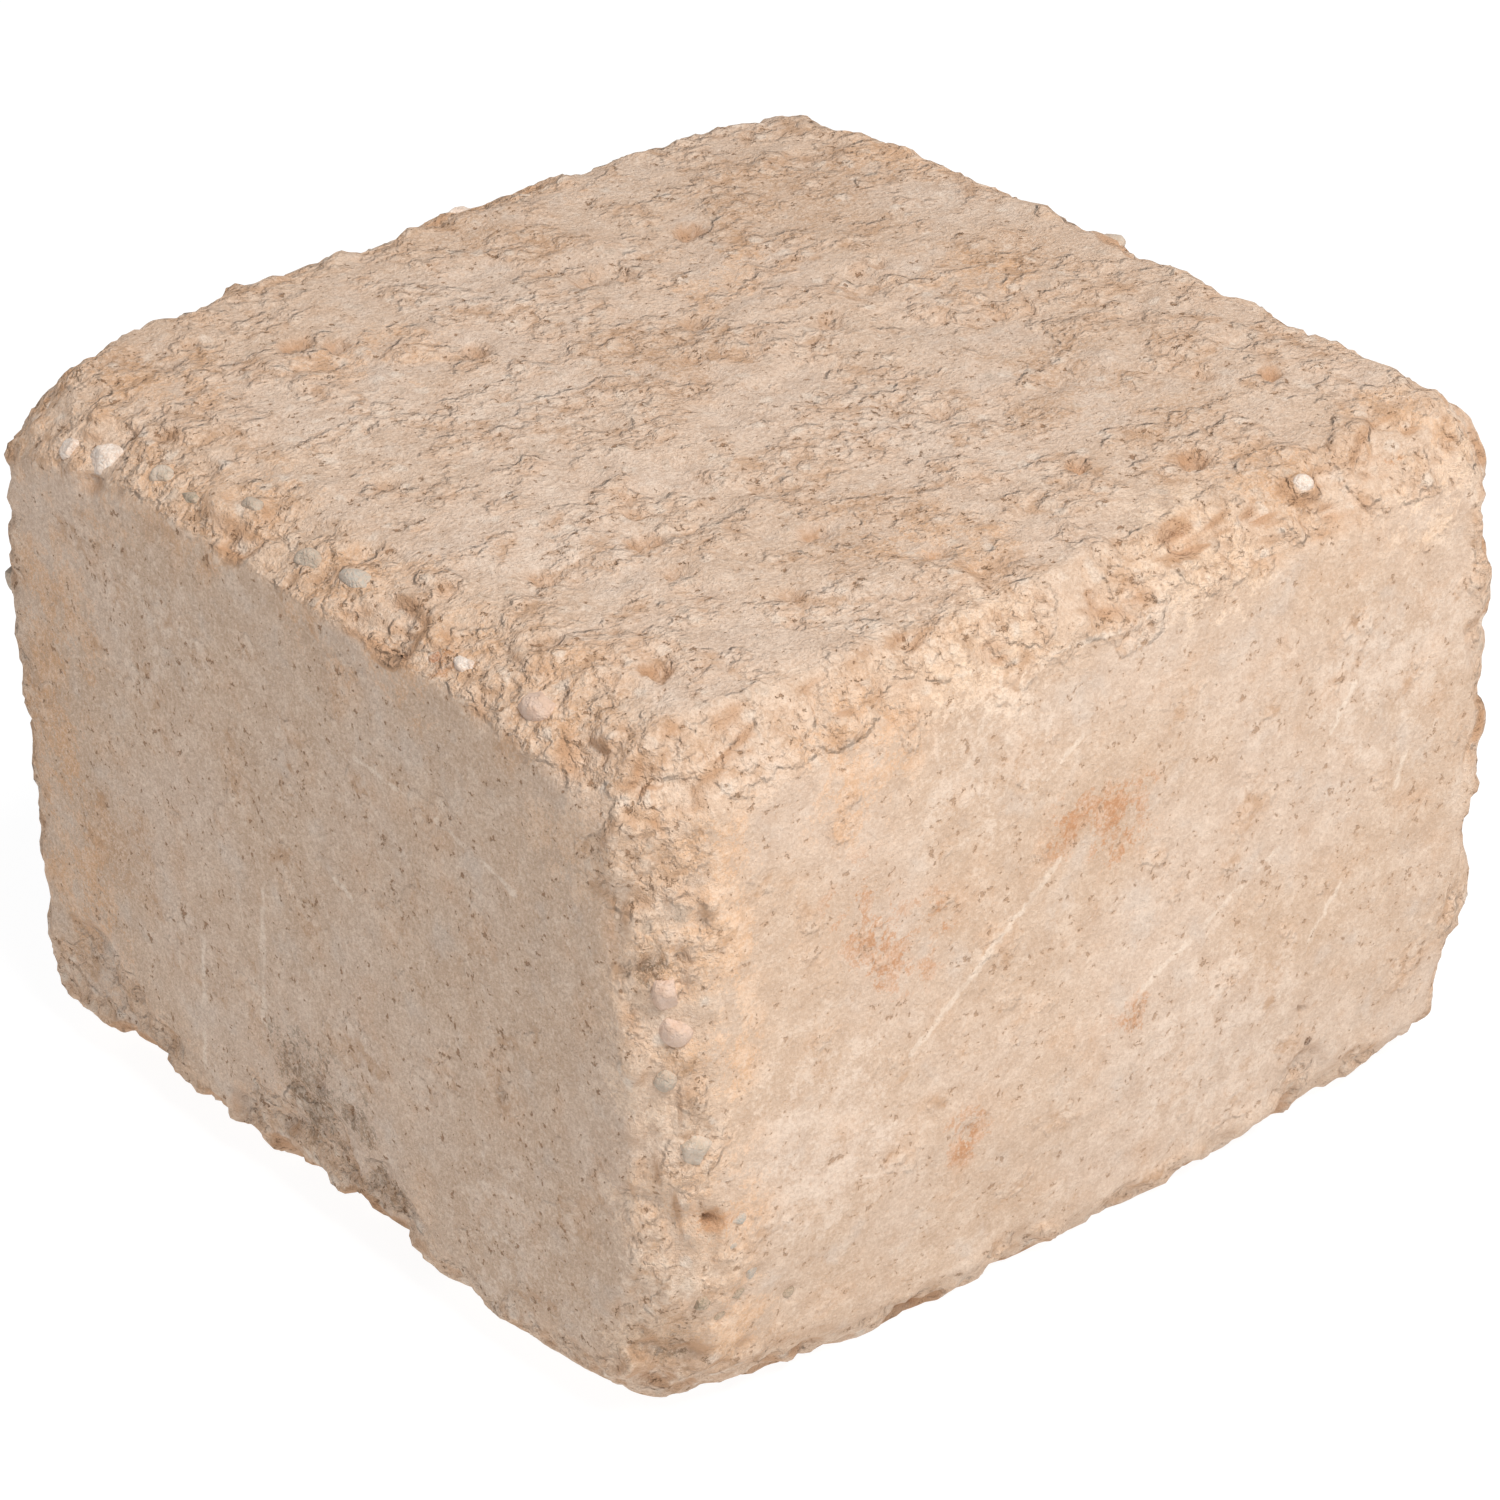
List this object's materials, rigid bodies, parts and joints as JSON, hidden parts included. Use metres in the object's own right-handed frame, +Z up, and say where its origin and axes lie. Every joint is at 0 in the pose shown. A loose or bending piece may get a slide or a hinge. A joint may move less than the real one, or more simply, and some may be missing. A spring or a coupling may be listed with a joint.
{
  "type": "tumbled concrete wall block",
  "caption": "Square concrete wall block with tumbled, chipped arrises and corners, and aggregate stones laid bare along its edges.",
  "frame": {"origin": "centre of the base, the bedding face that the block rests on", "axes": "+Z up out of the top face, +X to the right, +Y to the back, all square to the faces"},
  "size_m": [0.146, 0.146, 0.102],
  "materials": {
    "mortar": "matt, sandy dry-cast concrete, worn rough on the arrises",
    "white_quartz": "milky, slightly glossy quartz",
    "pale_grey_stone": "matt limestone",
    "grey_stone": "matt river gravel",
    "grey_green_stone": "matt dark gravel",
    "blue_grey_stone": "matt slate-like gravel",
    "pink_stone": "matt feldspar gravel",
    "red_stone": "matt brick-red grit",
    "olive_stone": "matt olive gravel",
    "brown_stone": "smooth dark brown pebble"
  },
  "bodies": {
    "root": {"mortar_body": "mortar", "white_quartz_large": "white_quartz", "white_quartz_small": "white_quartz", "pale_grey_stone_left_edge": "pale_grey_stone", "grey_green_stone_left_edge": "grey_green_stone", "grey_stone_left_edge": "grey_stone", "grey_pebble_left_edge": "grey_stone", "blue_grey_flat_stone": "blue_grey_stone", "red_grit_left_edge": "red_stone", "white_pebble_left_edge": "white_quartz", "pink_stone_left_edge": "pink_stone", "pink_stone_upper": "pink_stone", "pink_stone_lower": "pink_stone", "grey_pebble_front_edge": "grey_stone", "pale_stone_front_edge": "pale_grey_stone", "blue_grey_grit": "blue_grey_stone", "olive_pebbles": "olive_stone", "white_stone_top_edge": "white_quartz", "brown_pebble_front_face": "brown_stone", "pale_stone_right_edge": "pale_grey_stone", "grey_stone_right_corner": "grey_stone", "white_pebble_back_edge": "white_quartz", "pink_stone_back_corner": "pink_stone", "grey_stone_back_left": "grey_stone"}
  },
  "joints": []
}
